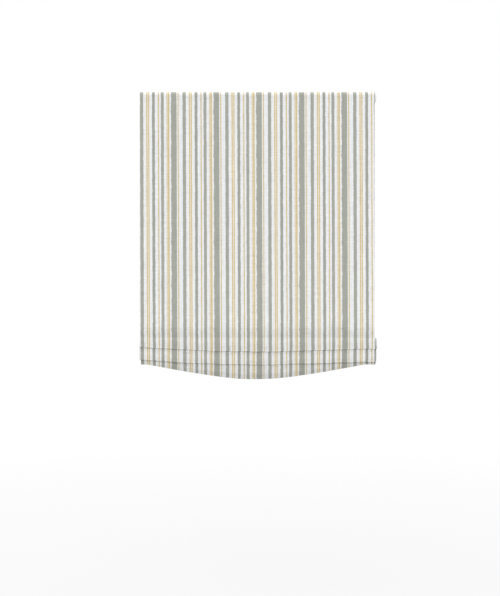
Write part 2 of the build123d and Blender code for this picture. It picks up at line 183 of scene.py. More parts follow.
def buildBandGroup():
    # one printed stripe: 1 between two edges that waver a little, softly 0 outside
    values = {"Place": 0, "Left": 0, "Right": 0, "LeftWaver": 0, "RightWaver": 0, "Softness": 0.0008}
    tree, given, result = newGroup("paintedBand", values, ("Mask",))
    masks = []
    for edge, waver in (("Left", "LeftWaver"), ("Right", "RightWaver")):
        line = maths(tree, "ADD", given[edge], given[waver])
        distance = maths(tree, "SUBTRACT", given["Place"], line)
        step = maths(tree, "DIVIDE", distance, given["Softness"])
        masks.append(maths(tree, "MULTIPLY_ADD", step, 0.5, 0.5, clamp=True))
    inside = maths(tree, "SUBTRACT", masks[0], masks[1], clamp=True)
    tree.links.new(inside, result["Mask"])
    return tree


def buildGrainGroup():
    # fine moulded or drawn surface: a roughness round a given value, and a height
    values = {"Vector": None, "Roughness": 0.4, "Spread": 0.08, "Scale": 900.0}
    tree, given, result = newGroup("fineGrain", values, ("Roughness", "Height"))
    texture = addNode(tree, "ShaderNodeTexNoise")
    tree.links.new(given["Vector"], texture.inputs["Vector"])
    tree.links.new(given["Scale"], texture.inputs["Scale"])
    texture.inputs["Detail"].default_value = 3
    centred = maths(tree, "SUBTRACT", texture.outputs["Fac"], 0.5)
    roughness = maths(tree, "MULTIPLY_ADD", centred, given["Spread"], given["Roughness"])
    tree.links.new(roughness, result["Roughness"])
    tree.links.new(texture.outputs["Fac"], result["Height"])
    return tree


weaveGroup = buildWeaveGroup()
bandGroup = buildBandGroup()
grainGroup = buildGrainGroup()

# the striped cloth

stripes = {
    "repeat": 0.1645,
    "drop": 0.168,              # the drawing of the edges repeats down the cloth
    "start": -0.00694,          # where one repeat begins, across the blind
    "lead": 0.0045,             # room before the wide grey for its margin and its wavering edge
    "ground": (239, 240, 242),
    "margin": (248, 249, 251),
    "grey": (170, 172, 163),
    "darkGrey": (166, 168, 159),
    "gold": (209, 183, 108),
    "paleGold": (227, 215, 187),
    "palest": (233, 227, 212),
    "withMargin": ("grey", "darkGrey", "palest"),
    "marginWidth": 0.0020,
    "softness": 0.0009,
    "driftSeeds": (3.0, 17.0, 29.0, 43.0),
    "driftReach": 0.9,
    "nickSeed": 100,            # beyond each drift's own seed
    "nickReach": 4.2,
    "nickShare": 0.55,
    "waverMiddle": 0.775,       # what drift and nicks come to on average
    "waverGain": 4.0,
    "mottle": 0.20,
    "mottleUpright": (420, 16, 1),
    "mottleLevel": (30, 300, 1),
    "mottleDetail": 3,
    "pitch": 0.0009,
    "slub": 0.096,
    "paintedShadeDrift": 0.002,       # how far the painted fold shade strays along the cloth
    "paintedShadeWaves": (26, 1, 1),
    "roughness": 0.92,
    "specular": 0.12,
    "sheen": 0.05,
    "sheenRoughness": 0.6,
    "bumpStrength": 0.35,
    "bumpHeight": 0.0003,
    # left edge, right edge, colour, strength, left and right waver
    "bands": [
        (0.0008, 0.0228, "grey", 1.0, 0.0024, 0.0007),
        (0.0268, 0.0303, "gold", 0.95, 0.0006, 0.0004),
        (0.0459, 0.0587, "grey", 1.0, 0.0011, 0.0009),
        (0.0694, 0.0829, "palest", 0.9, 0.0004, 0.0004),
        (0.0704, 0.0737, "gold", 0.9, 0.0004, 0.0004),
        (0.0781, 0.0812, "gold", 0.9, 0.0004, 0.0004),
        (0.0926, 0.1034, "darkGrey", 1.0, 0.0013, 0.0010),
        (0.1154, 0.1189, "gold", 1.0, 0.0005, 0.0004),
        (0.1264, 0.1381, "grey", 1.0, 0.0012, 0.0009),
        (0.1478, 0.1593, "paleGold", 1.0, 0.0012, 0.0004),
        (0.1546, 0.1583, "gold", 0.75, 0.0008, 0.0003),
    ],
}
# painted shade where more layers lie behind and below the creases, and painted highlight on the creases'
# rounded edges:
# length down the cloth, painted shade (above 1 a painted highlight)
paintedFoldShades = [
    (0.0, 1.0), (0.922, 1.0), (0.934, 0.955), (0.996, 0.945), (1.0035, 0.91), (1.0205, 0.905),
    (1.023, 1.1), (1.108, 1.1), (1.1168, 1.1), (1.1195, 0.925), (1.124, 0.925), (1.134, 0.952),
    (1.145, 0.95), (1.152, 0.925), (1.161, 0.915), (1.1635, 1.1), (1.224, 1.1), (1.2345, 1.05),
    (1.239, 0.88), (1.262, 0.865), (1.266, 0.775), (1.304, 0.775),
]


def buildEdgeWavers(tree, along):
    # hand-drawn edges: slow drifts and small nicks that come back with every drop
    turn = maths(tree, "MULTIPLY", along, 2 * math.pi / stripes["drop"])
    sine, cosine = maths(tree, "SINE", turn), maths(tree, "COSINE", turn)

    def roundNoise(seed, reach, detail):
        circle = addNode(tree, "ShaderNodeCombineXYZ")
        tree.links.new(maths(tree, "MULTIPLY_ADD", cosine, reach, seed), circle.inputs[0])
        tree.links.new(maths(tree, "MULTIPLY", sine, reach), circle.inputs[1])
        return slowNoise(tree, circle.outputs[0], detail)

    wavers = []
    for seed in stripes["driftSeeds"]:
        nicks = roundNoise(seed + stripes["nickSeed"], stripes["nickReach"], 2)
        drift = roundNoise(seed, stripes["driftReach"], 1)
        both = maths(tree, "MULTIPLY_ADD", nicks, stripes["nickShare"], drift)
        centred = maths(tree, "SUBTRACT", both, stripes["waverMiddle"])
        wavers.append(maths(tree, "MULTIPLY", centred, stripes["waverGain"]))
    return wavers


def printStripes(tree, across, along):
    # the printed colour, and how much ink lies there
    moved = maths(tree, "SUBTRACT", across, stripes["start"] - stripes["lead"])
    share = maths(tree, "FRACT", maths(tree, "DIVIDE", moved, stripes["repeat"]))
    place = maths(tree, "MULTIPLY_ADD", share, stripes["repeat"], -stripes["lead"])
    wavers = buildEdgeWavers(tree, along)
    colour = srgb(*stripes["ground"])
    inks = []
    for count, (left, right, tint, strength, leftWaver, rightWaver) in enumerate(stripes["bands"]):
        values = dict(
            Place=place, Softness=stripes["softness"],
            LeftWaver=maths(tree, "MULTIPLY", wavers[count % len(wavers)], leftWaver),
            RightWaver=maths(tree, "MULTIPLY", wavers[(count + 1) % len(wavers)], rightWaver),
        )
        band = placeGroup(tree, bandGroup, Left=left, Right=right, **values)["Mask"]
        if tint in stripes["withMargin"]:
            wide = stripes["marginWidth"]
            margin = placeGroup(tree, bandGroup, Left=left - wide, Right=right + wide, **values)["Mask"]
            colour = mixColours(tree, margin, colour, srgb(*stripes["margin"]))
        inks.append((band, tint, strength))
    ink = 0.0
    for band, tint, strength in inks:
        if strength < 1:
            band = maths(tree, "MULTIPLY", band, strength)
        colour = mixColours(tree, band, colour, srgb(*stripes[tint]))
        ink = maths(tree, "MAXIMUM", band, ink)
    return colour, ink


def paintFoldShades(tree, across, along):
    # painted shade and highlight for the folds, creases and hem, looked up by length down the cloth
    curveNode = addNode(tree, "ShaderNodeFloatCurve")
    curve = curveNode.mapping.curves[0]
    reach = paintedFoldShades[-1][0]
    brightest = max(shade for length, shade in paintedFoldShades)
    while len(curve.points) < len(paintedFoldShades):
        curve.points.new(0.5, 1.0)
    for point, (length, shade) in zip(curve.points, paintedFoldShades):
        point.location = (length / reach, shade / brightest)
        point.handle_type = "VECTOR"
    curveNode.mapping.update()
    stray = slowNoise(tree, across, 2, stripes["paintedShadeWaves"])
    stray = maths(tree, "MULTIPLY_ADD", stray, 2 * stripes["paintedShadeDrift"], -stripes["paintedShadeDrift"])
    length = maths(tree, "ADD", maths(tree, "ABSOLUTE", along), stray)
    tree.links.new(maths(tree, "DIVIDE", length, reach, clamp=True), curveNode.inputs["Value"])
    return maths(tree, "MULTIPLY", curveNode.outputs[0], brightest)


def buildStripedCloth():
    material, tree, shader = newMaterial("stripedCloth", (1, 1, 1, 1), stripes["roughness"])
    shader.inputs["Specular IOR Level"].default_value = stripes["specular"]
    shader.inputs["Sheen Weight"].default_value = stripes["sheen"]
    shader.inputs["Sheen Roughness"].default_value = stripes["sheenRoughness"]
    uvMap = addNode(tree, "ShaderNodeUVMap", uv_map="UVMap").outputs[0]
    split = addNode(tree, "ShaderNodeSeparateXYZ")
    tree.links.new(uvMap, split.inputs[0])
    across, along = split.outputs[0], split.outputs[1]
    weave = placeGroup(tree, weaveGroup, Vector=uvMap, Pitch=stripes["pitch"], Slub=stripes["slub"])
    colour, ink = printStripes(tree, across, along)

    # ink that took unevenly, mostly along the threads
    upright = slowNoise(tree, uvMap, stripes["mottleDetail"], stripes["mottleUpright"])
    level = slowNoise(tree, uvMap, stripes["mottleDetail"], stripes["mottleLevel"])
    uneven = maths(tree, "MULTIPLY", maths(tree, "SUBTRACT", maths(tree, "ADD", upright, level), 1.0), ink)
    mottled = maths(tree, "MULTIPLY_ADD", uneven, stripes["mottle"], weave["Shade"])
    # the base colour: print, mottle and weave, times the painted fold shade and highlight
    shadeInto(tree, shader, colour, maths(tree, "MULTIPLY", mottled, paintFoldShades(tree, across, along)))
    bumpInto(tree, shader, weave["Height"], stripes["bumpStrength"], stripes["bumpHeight"])
    return material


# the other finishes

plainCloth = {"roughness": 0.95, "specular": 0.1, "bumpStrength": 0.3, "bumpHeight": 0.0002}
hardBumpStrength = 0.2


def buildPlainCloth(name, colour, pitch, slub):
    material, tree, shader = newMaterial(name, srgb(*colour), plainCloth["roughness"])
    shader.inputs["Specular IOR Level"].default_value = plainCloth["specular"]
    uvMap = addNode(tree, "ShaderNodeUVMap", uv_map="UVMap").outputs[0]
    weave = placeGroup(tree, weaveGroup, Vector=uvMap, Pitch=pitch, Slub=slub)
    if slub:        # a thread's colour is the same all over, so it stays on the shader itself
        shadeInto(tree, shader, srgb(*colour)[:3], weave["Shade"])
    bumpInto(tree, shader, weave["Height"], plainCloth["bumpStrength"], plainCloth["bumpHeight"])
    return material


def buildHardMaterial(name, colour, roughness, metallic, spread, scale, bumpHeight, stretch):
    material, tree, shader = newMaterial(name, srgb(*colour), roughness, metallic)
    stretched = addNode(tree, "ShaderNodeVectorMath", operation="MULTIPLY")
    stretched.inputs[1].default_value = (stretch, 1, 1)
    tree.links.new(addNode(tree, "ShaderNodeTexCoord").outputs["Object"], stretched.inputs[0])
    values = dict(Vector=stretched.outputs[0], Roughness=roughness, Spread=spread, Scale=scale)
    grain = placeGroup(tree, grainGroup, **values)
    tree.links.new(grain["Roughness"], shader.inputs["Roughness"])
    bumpInto(tree, shader, grain["Height"], hardBumpStrength, bumpHeight)
    return material


# under the record's names of its slots, or a name of their own: name, colour, thread pitch, slub
plainFinishes = {
    "lining_cloth": ("liningCloth", (241, 241, 238), 0.0006, 0.008),
    "thread": ("sewingThread", (228, 228, 224), 0.0003, 0.0),
    "hemThread": ("hemThread", (208, 209, 206), 0.0003, 0.0),
    "lift_cord": ("braidedCord", (238, 238, 233), 0.0009, 0.02),
    "hook_tape": ("hookTape", (226, 226, 223), 0.0011, 0.06),
    "loop_tape": ("loopTape", (235, 235, 233), 0.0013, 0.05),
}
# name, colour, roughness, metallic, spread of the roughness, and the grain's scale, height and stretch
hardFinishes = {
    "rail_aluminium": ("whiteCoatedAluminium", (235, 236, 236), 0.38, 0.0, 0.05, 1400, 0.00004, 1),
    "white_plastic": ("whitePlastic", (233, 233, 230), 0.42, 0.0, 0.08, 1100, 0.00004, 1),
    "grey_plastic": ("greyPlastic", (168, 170, 172), 0.45, 0.0, 0.1, 1100, 0.00004, 1),
    "drum_plastic": ("naturalPlastic", (222, 220, 212), 0.36, 0.0, 0.08, 900, 0.00004, 1),
    "clear_guide": ("guidePlastic", (226, 229, 231), 0.18, 0.0, 0.04, 900, 0.00004, 1),
    "ring_plastic": ("ringPlastic", (238, 238, 234), 0.25, 0.0, 0.05, 900, 0.00004, 1),
    "zinc_steel": ("zincSteel", (182, 184, 187), 0.34, 1.0, 0.16, 420, 0.00003, 1),
    "spring_steel": ("springSteel", (150, 154, 160), 0.26, 1.0, 0.12, 500, 0.00002, 0.2),
    "shaft_steel": ("shaftSteel", (172, 174, 178), 0.3, 1.0, 0.12, 600, 0.00002, 0.05),
    "bar_aluminium": ("barAluminium", (206, 207, 209), 0.36, 1.0, 0.12, 700, 0.00002, 0.04),
}
finishes = {"striped_cloth": buildStripedCloth()}
finishes.update({key: buildPlainCloth(*values) for key, values in plainFinishes.items()})
finishes.update({key: buildHardMaterial(*values) for key, values in hardFinishes.items()})
nodeSlot = {part["node"]: part["material_slot"] for part in frame["record"]["subparts"]}
for nodeName, node in nodes.items():
    for slot in node.material_slots:
        slot.material = finishes[nodeSlot[nodeName]]
print("finishes ready")

# mesh helpers

cutEdgeAngle = 50       # degrees, where a thickened cloth's edges stay sharp
weldDistance = 0.00002


def finishMesh(name, bm, slotName=None, body=None, finish=None):
    # an object of its own, in its slot's finish unless another is given
    mesh = bpy.data.meshes.new(name)
    bm.to_mesh(mesh)
    bm.free()
    mesh.materials.append(finish or finishes[slotName])
    for polygon in mesh.polygons:
        polygon.use_smooth = True
    piece = bpy.data.objects.new(name, mesh)
    bpy.context.scene.collection.objects.link(piece)
    if body:
        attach(piece, body)
    return piece


def thicken(piece, thickness):
    # a cloth's thickness behind its right side, then its cut edges kept sharp
    solid = piece.modifiers.new("thickness", "SOLIDIFY")
    solid.thickness = thickness
    solid.offset = -1
    shown = piece.evaluated_get(bpy.context.evaluated_depsgraph_get())
    mesh = bpy.data.meshes.new_from_object(shown)
    piece.modifiers.clear()
    piece.data = mesh
    mesh.set_sharp_from_angle(angle=math.radians(cutEdgeAngle))
    return piece


def startMesh():
    bm = bmesh.new()
    return bm, bm.loops.layers.uv.new("UVMap")


def gridInto(bm, uvLayer, columns, rows, place):
    # a grid whose corners are each moved to their place, with its own place on the cloth as UV
    made = bmesh.ops.create_grid(bm, x_segments=columns, y_segments=rows, size=0.5)["verts"]
    spots = {}
    for corner in made:
        i = round((corner.co.x + 0.5) * columns)
        j = round((corner.co.y + 0.5) * rows)
        x, y, z, u, v = place(i, j)
        corner.co = (x, y, z)
        spots[corner] = (u, v)
    for face in {f for corner in made for f in corner.link_faces}:
        for loop in face.loops:
            loop[uvLayer].uv = spots[loop.vert]
    return made


def lengthsOf(points):
    # how far along a line each of its points lies
    found = [0.0]
    for one, two in zip(points, points[1:]):
        found.append(found[-1] + math.dist(one, two))
    return found


def tubeInto(bm, uvLayer, points, radius, sides=10, closed=False):
    # a round tube that follows points, its UV running round and along it
    count = len(points)
    frames = []
    across = None
    for i, point in enumerate(points):
        ahead = points[(i + 1) % count if closed else min(i + 1, count - 1)]
        behind = points[i - 1 if closed or i else 0]
        along = (ahead - behind).normalized()
        if across is None:
            across = along.orthogonal().normalized()
        across = (across - along * across.dot(along)).normalized()
        frames.append((point, across, along.cross(across)))
    length = lengthsOf(points)

    def place(i, j):
        point, first, second = frames[j % count]
        angle = 2 * math.pi * i / sides
        x, y, z = point + first * math.cos(angle) * radius + second * math.sin(angle) * radius
        return x, y, z, radius * angle, length[min(j, count - 1)]

    made = gridInto(bm, uvLayer, sides, count if closed else count - 1, place)
    bmesh.ops.remove_doubles(bm, verts=made, dist=radius / 50)
    if not closed:
        rims = [e for v in made if v.is_valid for e in v.link_edges if e.is_boundary]
        if rims:
            bmesh.ops.holes_fill(bm, edges=list(set(rims)), sides=0)


def ringInto(bm, uvLayer, centre, axis, major, minor, steps=28, sides=12):
    # a round ring about an axis
    axis = Vector(axis).normalized()
    first = axis.orthogonal().normalized()
    second = axis.cross(first)
    points = []
    for k in range(steps):
        angle = 2 * math.pi * k / steps
        points.append(Vector(centre) + (first * math.cos(angle) + second * math.sin(angle)) * major)
    tubeInto(bm, uvLayer, points, minor, sides, closed=True)


def turnOutward(bm):
    bmesh.ops.recalc_face_normals(bm, faces=bm.faces[:])


# the hanging cloth and its lining

cloth = {
    "halfWidth": 0.457,
    "panelFront": -0.0416,
    "drop": 1.055,
    "topGap": 0.003,
    "topEdge": -0.0168,
    "thickness": 0.0007,
    "sag": 0.057,
    "crown": 0.42,              # less makes the sag's curve more pointed
    "sagCentre": -0.009,
    "flatCorner": 0.033,
    "turn": 0.00165,            # right side to right side where the cloth is turned back
    "sideHem": 0.033,
    "cutSideHem": 0.017,        # its width under the turned-up hem
    "cutRoom": 0.001,
    "sideHemStop": 0.00065,     # how far above the lowest row it ends
    "hemTurn": 0.020,
    "hemLap": 0.0012,
    "overHemStart": 0.4318,     # from here outward the hem turns up over the side hems
    "overHemEase": 0.008,
    "overSideHem": 0.00095,
    "railSeam": -0.042,         # the flat cloth gathers below here when the blind is raised
    "foldSeam": -0.912,         # and its folds ride with the bottom bar from here down
    "lean": 0.0035,             # the pattern runs this much askew down the cloth
    "leanMiddle": 0.35,
    "foldStep": 0.0017,         # how far the pattern moves sideways behind the first fold
}
folds = {
    "creaseOne": 0.062,         # each crease's height above the drop, and its sag at the middle
    "creaseOneSag": 0.013,
    "creaseTwo": 0.012,
    "creaseTwoSag": 0.014,
    "leftRise": 0.005,          # the creases run up a little at the left edge
    "rightDrop": 0.0024,
    "secondRightDrop": 0.004,
    "creaseRadius": 0.0022,
    "behindFirst": -0.963,      # where the cloth turns behind the first fold, higher at the sides
    "sideRise": 0.020,          # at the left, and this share of it at the right
    "rightRiseShare": 0.4,
    "behindFirstRadius": 0.00045,
    "behindSecond": -1.027,
    "behindSecondRadius": 0.00035,
    "upPly": 0.0080,            # depths of the plies, each from the one before
    "secondPly": 0.0010,
    "flapPly": 0.0056,
    "swell": 0.0007,
    "rollSwell": 0.0012,
    "hemRadius": 0.485,         # a share of the turn, so the hem is nearly round
    "creaseWaver": 0.0013,
    "hemWaver": 0.0006,
    "slowWaves": 9,
    "slowShare": 1.6,
    "quickWaves": 26,
    "quickShare": 0.6,
    "seed": 4.0,
}
# how far the cloth's left and right edges are from its middle
halfWidths = {
    "rail": (0.4560, 0.4505),
    "panel": (0.4560, 0.4500),
    "behindFirst": (0.4574, 0.4574),
    "flap": (0.4525, 0.4545),
}
clothGrid = {
    "columns": 108,
    "rowStep": 0.004,
    "longRun": 0.3,             # straight runs beyond this have rows this many steps apart
    "longRunSteps": 4,
    "bendStep": 11,             # degrees
    "turnSteps": 6,
    "hemSteps": 4,
    "easeRows": 5,              # below the side hems' ends the cloth widens in so many rows
    "easeShare": 0.9,
    "searchRows": 40,           # from the seam down, where the turn behind the first fold can't be yet
    "sameHeight": 1e-6,
}
liningCloth = {"front": 0.0017, "back": 0.0021, "overHem": 0.007, "aboveHem": 0.014}
sagReach = cloth["halfWidth"] - cloth["flatCorner"]


def sagShare(x):
    t = min(abs(x - cloth["sagCentre"]) / sagReach, 1)
    crown = cloth["crown"]
    return 1 - (math.hypot(t, crown) - crown) / (math.hypot(1, crown) - crown)


def waver(x, seed, amount):
    # 5.1 and 3.7 only keep the seeds apart
    slow = noise.noise(Vector((x * folds["slowWaves"] + seed * 5.1, seed, folds["seed"])))
    quick = noise.noise(Vector((x * folds["quickWaves"] + seed * 3.7, seed, folds["seed"])))
    return amount * (folds["slowShare"] * slow + folds["quickShare"] * quick)


def clothCorners(x):
    # corners along the right side of the cloth: depth, height, bend radius, (left, right) half width
    front, drop, sag = cloth["panelFront"], cloth["drop"], sagShare(x)
    leftness = max(0, -x / cloth["halfWidth"]) ** 3
    rightness = max(0, x / cloth["halfWidth"]) ** 3
    creaseOne = folds["creaseOne"] - drop - folds["creaseOneSag"] * sag + waver(x, 1, folds["creaseWaver"])
    creaseOne += folds["leftRise"] * leftness - folds["rightDrop"] * rightness
    creaseTwo = folds["creaseTwo"] - drop - folds["creaseTwoSag"] * sag + waver(x, 2, folds["creaseWaver"])
    creaseTwo += folds["leftRise"] * leftness - folds["secondRightDrop"] * rightness
    hem = -drop - cloth["hemLap"] - cloth["sag"] * sag + waver(x, 3, folds["hemWaver"])
    upTop = folds["behindFirst"] + folds["sideRise"] * (leftness + folds["rightRiseShare"] * rightness)
    flapTop = folds["behindSecond"]
    rolled = front - folds["rollSwell"]
    up = front + folds["upPly"]
    second = up + folds["secondPly"]
    flap = second + folds["flapPly"]
    swell = waver(x, 4, folds["swell"])
    sideness = min(max((abs(x) - cloth["overHemStart"]) / cloth["overHemEase"], 0), 1)
    turn = cloth["turn"] + cloth["overSideHem"] * sideness
    creaseRadius, hemRadius = folds["creaseRadius"], turn * folds["hemRadius"]
    return [
        (cloth["topEdge"], -cloth["topGap"], 0, halfWidths["rail"]),
        (rolled, -cloth["topGap"], 0.0135, halfWidths["rail"]),
        (rolled, -0.019, 0.030, halfWidths["rail"]),
        (front, -0.037, 0.080, halfWidths["panel"]),
        (front, cloth["railSeam"], 0, halfWidths["panel"]),
        (front, cloth["foldSeam"], 0, halfWidths["panel"]),
        (front, cloth["foldSeam"] - 0.0025, 0.040, halfWidths["panel"]),
        (front + 0.0010, -0.930, 0.060, halfWidths["panel"]),
        (front + 0.0045, -0.952, 0.012, (0.4560, 0.4508)),
        (front + 0.0035 + swell, creaseOne + 0.030, 0.020, (0.4562, 0.4530)),
        (front + 0.0036, creaseOne, creaseRadius, (0.4570, 0.4570)),
        (up, creaseOne, creaseRadius, (0.4626, 0.4595)),
        (up, upTop, folds["behindFirstRadius"], halfWidths["behindFirst"]),
        (second, upTop, folds["behindFirstRadius"], halfWidths["behindFirst"]),
        (second - 0.0004 + swell, creaseTwo + 0.020, 0.016, (0.4590, 0.4575)),
        (second + 0.0004, creaseTwo, creaseRadius, (0.4580, 0.4565)),
        (second + 0.0050, creaseTwo, creaseRadius, (0.4570, 0.4560)),
        (flap - 0.0008, flapTop, folds["behindSecondRadius"], (0.4560, 0.4555)),
        (flap, flapTop, folds["behindSecondRadius"], (0.4550, 0.4550)),
        (flap, hem, hemRadius, halfWidths["flap"]),
        (flap + turn, hem, hemRadius, halfWidths["flap"]),
        (flap + turn, hem + cloth["hemTurn"], 0, (0.4530, 0.4545)),
    ]


def headingAt(corners, i):
    return (Vector(corners[i + 1][:2]) - Vector(corners[i][:2])).normalized()


def turnAt(corners, i):
    # how far the path turns at a corner, positive to the front
    one, two = headingAt(corners, i - 1), headingAt(corners, i)
    return math.atan2(one.x * two.y - one.y * two.x, one.dot(two))


def planRows(corners):
    # how many rows each straight run and each bend gets, the same all across the cloth
    runs = []
    for i in range(len(corners) - 1):
        run = math.dist(corners[i][:2], corners[i + 1][:2])
        step = clothGrid["rowStep"] * (clothGrid["longRunSteps"] if run > clothGrid["longRun"] else 1)
        runs.append(max(1, round(run / step)))
    bends = [0] * len(corners)
    for i in range(1, len(corners) - 1):
        if corners[i][2]:
            bends[i] = max(2, math.ceil(abs(turnAt(corners, i)) / math.radians(clothGrid["bendStep"])))
    return runs, bends


def followPath(corners, plan):
    # places along the bent path, each with the normal behind the cloth and its half widths there
    runs, bends = plan
    points = []
    last, lastWidths = Vector(corners[0][:2]), Vector(corners[0][3])
    for i in range(1, len(corners)):
        here, widths, radius = Vector(corners[i][:2]), Vector(corners[i][3]), corners[i][2]
        along = headingAt(corners, i - 1)
        turn = turnAt(corners, i) if bends[i] else 0
        stop = here - along * radius * math.tan(abs(turn) / 2)
        behind = Vector((-along.y, along.x))
        for k in range(0 if i == 1 else 1, runs[i - 1] + 1):
            share = k / runs[i - 1]
            points.append((last.lerp(stop, share), behind, lastWidths.lerp(widths, share)))
        last, lastWidths = stop, widths
        if bends[i]:
            toCentre = behind * math.copysign(radius, turn)
            centre = stop + toCentre
            for k in range(1, bends[i] + 1):
                turned = Matrix.Rotation(turn * k / bends[i], 2)
                points.append((centre - turned @ toCentre, turned @ behind, widths))
            last = points[-1][0]
    return points


plan = planRows(clothCorners(0))
paths = {}


def pathAt(x):
    key = round(x, 5)
    if key not in paths:
        paths[key] = followPath(clothCorners(x), plan)
    return paths[key]


middlePath = pathAt(0.0)
rowCount = len(middlePath)
lengths = lengthsOf([point[0] for point in middlePath])
heights = [point[0].y for point in middlePath]
hemRow = min(range(rowCount), key=lambda i: heights[i])


def seamRow(first, height):
    return next(i for i in range(first, rowCount) if abs(heights[i] - height) < clothGrid["sameHeight"])


def lastRowAbove(height):
    # the last row that is still this much above the hem's lowest one
    return max(i for i in range(hemRow) if heights[i] > heights[hemRow] + height)


railRow = seamRow(0, cloth["railSeam"])
foldRow = seamRow(railRow, cloth["foldSeam"])
turnRow = max(range(foldRow + clothGrid["searchRows"], hemRow), key=lambda i: heights[i])
sideHemEnd = lastRowAbove(cloth["sideHemStop"])
cutRow = lastRowAbove(cloth["hemTurn"] + cloth["cutRoom"])
liningEnd = lastRowAbove(liningCloth["aboveHem"])


def sideways(row):
    # the pattern leans a little, and moves over behind the first fold
    askew = cloth["lean"] * (cloth["leanMiddle"] - lengths[row])
    return askew + (row >= turnRow) * cloth["foldStep"]


def clothPoint(row, share, inset, offset):
    # a share of the way to a side edge that is inset, and an offset behind the right side
    place, behind, widths = pathAt(share * (cloth["halfWidth"] - inset))[row]
    x = share * (widths[1 if share > 0 else 0] - inset)
    spot = place + behind * offset
    return x, spot.x, spot.y


def buildFacePiece(name, firstRow, lastRow, body):
    bm, uvLayer = startMesh()
    columns, turnSteps, hemSteps = clothGrid["columns"], clothGrid["turnSteps"], clothGrid["hemSteps"]
    lip = cloth["turn"] / 2

    def front(i, j):
        row = firstRow + j
        ended = min(max(row - sideHemEnd, 0) / clothGrid["easeRows"], clothGrid["easeShare"])
        x, y, z = clothPoint(row, 2 * i / columns - 1, lip * (1 - ended), 0)
        return x, y, z, x + sideways(row), -lengths[row]

    gridInto(bm, uvLayer, columns, lastRow - firstRow, front)
    bmesh.ops.reverse_faces(bm, faces=bm.faces[:])
    for side in (-1, 1):
        def turnedBack(i, j, side=side):
            row = firstRow + j
            if i <= turnSteps:
                angle = math.pi * i / turnSteps
                inset, offset, beyond = lip - lip * math.sin(angle), lip - lip * math.cos(angle), lip * angle
            else:
                width = cloth["sideHem"] if row <= cutRow else cloth["cutSideHem"]
                inset = lip + (width - lip) * (i - turnSteps) / hemSteps
                offset, beyond = cloth["turn"], lip * math.pi + inset - lip
            x, y, z = clothPoint(row, side, inset, offset)
            u = clothPoint(row, side, lip, 0)[0] + sideways(row) + side * beyond
            return x, y, z, u, -lengths[row]

        made = gridInto(bm, uvLayer, turnSteps + hemSteps, min(lastRow, sideHemEnd) - firstRow, turnedBack)
        if side > 0:
            bmesh.ops.reverse_faces(bm, faces=list({f for v in made for f in v.link_faces}))
    bmesh.ops.remove_doubles(bm, verts=bm.verts[:], dist=weldDistance)
    return thicken(finishMesh(name, bm, "striped_cloth", body), cloth["thickness"])


def buildLiningPiece(name, firstRow, lastRow, body):
    bm, uvLayer = startMesh()
    inset = cloth["sideHem"] - liningCloth["overHem"]

    def back(i, j):
        x, y, z = clothPoint(firstRow + j, 2 * i / clothGrid["columns"] - 1, inset, liningCloth["back"])
        return x, y, z, x, -lengths[firstRow + j]

    gridInto(bm, uvLayer, clothGrid["columns"], lastRow - firstRow, back)
    return thicken(finishMesh(name, bm, "lining_cloth", body), liningCloth["back"] - liningCloth["front"])


def gatherPanel(piece):
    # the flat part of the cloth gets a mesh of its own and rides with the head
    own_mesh(piece)
    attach(piece, "head")


for title, first, last, body, held in (
    ("Top", 0, railRow, "head", "hung"),
    ("Panel", railRow, foldRow, None, "hung"),
    ("Folds", foldRow, rowCount - 1, "bottom", "folded"),
):
    face = buildFacePiece("cloth" + title, first, last, body)
    backing = buildLiningPiece("lining" + title, first, min(last, liningEnd), body)
    if body is None:
        gatherPanel(face)
        gatherPanel(backing)
    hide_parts("face_fabric")
    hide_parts("lining")
print("cloth and lining hung:", rowCount, "rows,", round(lengths[-1], 3), "m of cloth")

# hand stitches: slip stitches along the lining's sides, and a row along the hem

stitching = {
    "thickness": 0.00022,
    "length": 0.0026,
    "sides": 5,
    "dip": 1.6,                 # how deep the ends go into the cloth, in thicknesses
    "spacing": 0.012,
    "sideInset": 0.0003,
    "slant": (0.8, -0.6),
    "hemSpacing": 0.0085,
    "hemHeight": 0.019,
    "hemStart": 0.006,
    "hemReach": 0.002,          # how far along the hem its slope is taken
}


def stitchInto(bm, uvLayer, centre, along, behind):
    # one short thread that dips into the cloth at both ends
    thickness = stitching["thickness"]
    points = []
    for t in (-1, -0.6, 0, 0.6, 1):
        lift = thickness * (1 - stitching["dip"] * t * t)
        points.append(Vector(centre) + Vector(along) * (stitching["length"] / 2 * t) + Vector(behind) * lift)
    tubeInto(bm, uvLayer, points, thickness, stitching["sides"])


def rowsBetween(first, last, spacing):
    # rows at even lengths of cloth, each with a share of the way to the next
    found, row = [], first
    length = math.ceil(lengths[first] / spacing) * spacing
    while length < lengths[last]:
        while lengths[row + 1] < length:
            row += 1
        found.append((row, (length - lengths[row]) / (lengths[row + 1] - lengths[row])))
        length += spacing
    return found


def buildSideStitches(name, firstRow, lastRow, body):
    # the lining is slip-stitched to the turned side hems
    bm, uvLayer = startMesh()
    inset = cloth["sideHem"] - liningCloth["overHem"]
    outward, downward = stitching["slant"]
    for side in (-1, 1):
        for row, share in rowsBetween(firstRow, min(lastRow, liningEnd - 1), stitching["spacing"]):
            one, two = [
                Vector(clothPoint(near, side, inset + stitching["sideInset"], liningCloth["back"]))
                for near in (row, row + 1)
            ]
            behind = pathAt(side * (cloth["halfWidth"] - inset))[row][1]
            along = (side * outward, 0, downward)
            stitchInto(bm, uvLayer, one.lerp(two, share), along, (0, behind.x, behind.y))
    turnOutward(bm)
    return finishMesh(name, bm, "striped_cloth", body, finishes["thread"])


gatherPanel(buildSideStitches("stitchesPanel", railRow, foldRow, None))
buildSideStitches("stitchesFolds", foldRow, liningEnd, "bottom")


